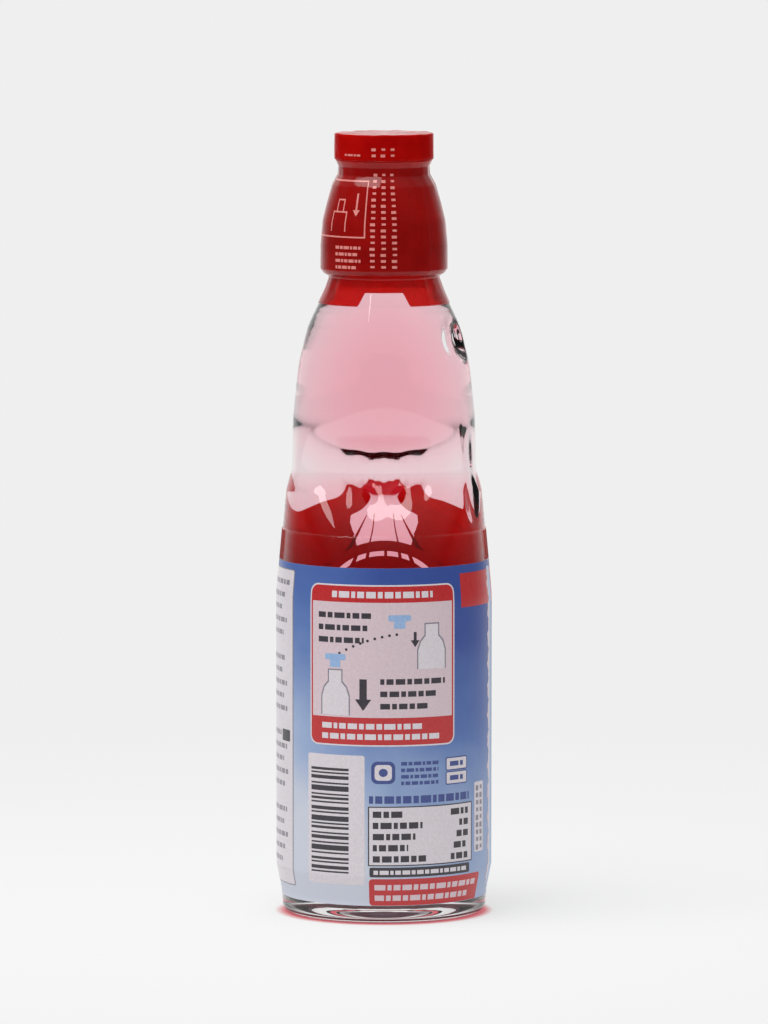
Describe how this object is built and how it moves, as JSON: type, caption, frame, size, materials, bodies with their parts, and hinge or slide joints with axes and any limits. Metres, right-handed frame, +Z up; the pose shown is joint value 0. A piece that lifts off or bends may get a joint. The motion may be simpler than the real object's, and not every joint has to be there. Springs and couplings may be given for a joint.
{
  "type": "marble stopper bottle",
  "caption": "Clear glass soda bottle sealed from inside by a glass marble, with pinched neck, gasket, screw cap, pusher and spacer ring under red film, and a printed sleeve label.",
  "frame": {"origin": "on the upright axis of the bottle, level with the ring of the base that it stands on", "axes": "+Z up along the bottle's axis; +X towards the drinking side, where the two marble catches are"},
  "size_m": [0.0581, 0.058, 0.2101],
  "materials": {
    "bottle_glass": "gloss",
    "pink_drink": "gloss",
    "marble_glass": "gloss",
    "gasket_rubber": "matte",
    "cap_plastic": "satin",
    "ring_plastic": "satin",
    "pusher_plastic": "satin",
    "red_film": "gloss",
    "label_film": "gloss"
  },
  "bodies": {
    "bottle": {"glass_bottle": "bottle_glass", "drink": "pink_drink", "body_label": "label_film"},
    "marble": {"marble": "marble_glass"},
    "washer": {"gasket": "gasket_rubber"},
    "cap": {"mouth_cap": "cap_plastic", "seal_skirt": "red_film"},
    "ring": {"spacer_ring": "ring_plastic"},
    "pusher": {"pusher": "pusher_plastic"},
    "seal": {"seal_top": "red_film"}
  },
  "joints": [
    {"name": "marble_drop", "type": "slide", "parent": "bottle", "child": "marble", "axis": [0, 0, -1], "range_m": [0, 0.0664], "deforming": ["drink"]},
    {"name": "cap_rise", "type": "slide", "parent": "bottle", "child": "washer", "axis": [0, 0, 1], "range_m": [0, 0.008]},
    {"name": "cap_turn", "type": "hinge", "parent": "washer", "child": "cap", "pos_m": [0, 0, 0.187], "axis": [0, 0, -1], "range_deg": [0, 720]},
    {"name": "seal_lift", "type": "slide", "parent": "cap", "child": "seal", "axis": [0, 0, 1], "range_m": [0, 0.075]},
    {"name": "pusher_lift", "type": "slide", "parent": "cap", "child": "pusher", "axis": [0, 0, 1], "range_m": [0, 0.05]},
    {"name": "ring_lift", "type": "slide", "parent": "cap", "child": "ring", "axis": [0, 0, 1], "range_m": [0, 0.025]}
  ],
  "couplings": [
    {"joint": "cap_rise", "follows": "cap_turn", "m_per_rad": 0.00063661},
    {"joint": "pusher_lift", "follows": "seal_lift", "ratio": 0.6666},
    {"joint": "ring_lift", "follows": "seal_lift", "ratio": 0.3333}
  ]
}
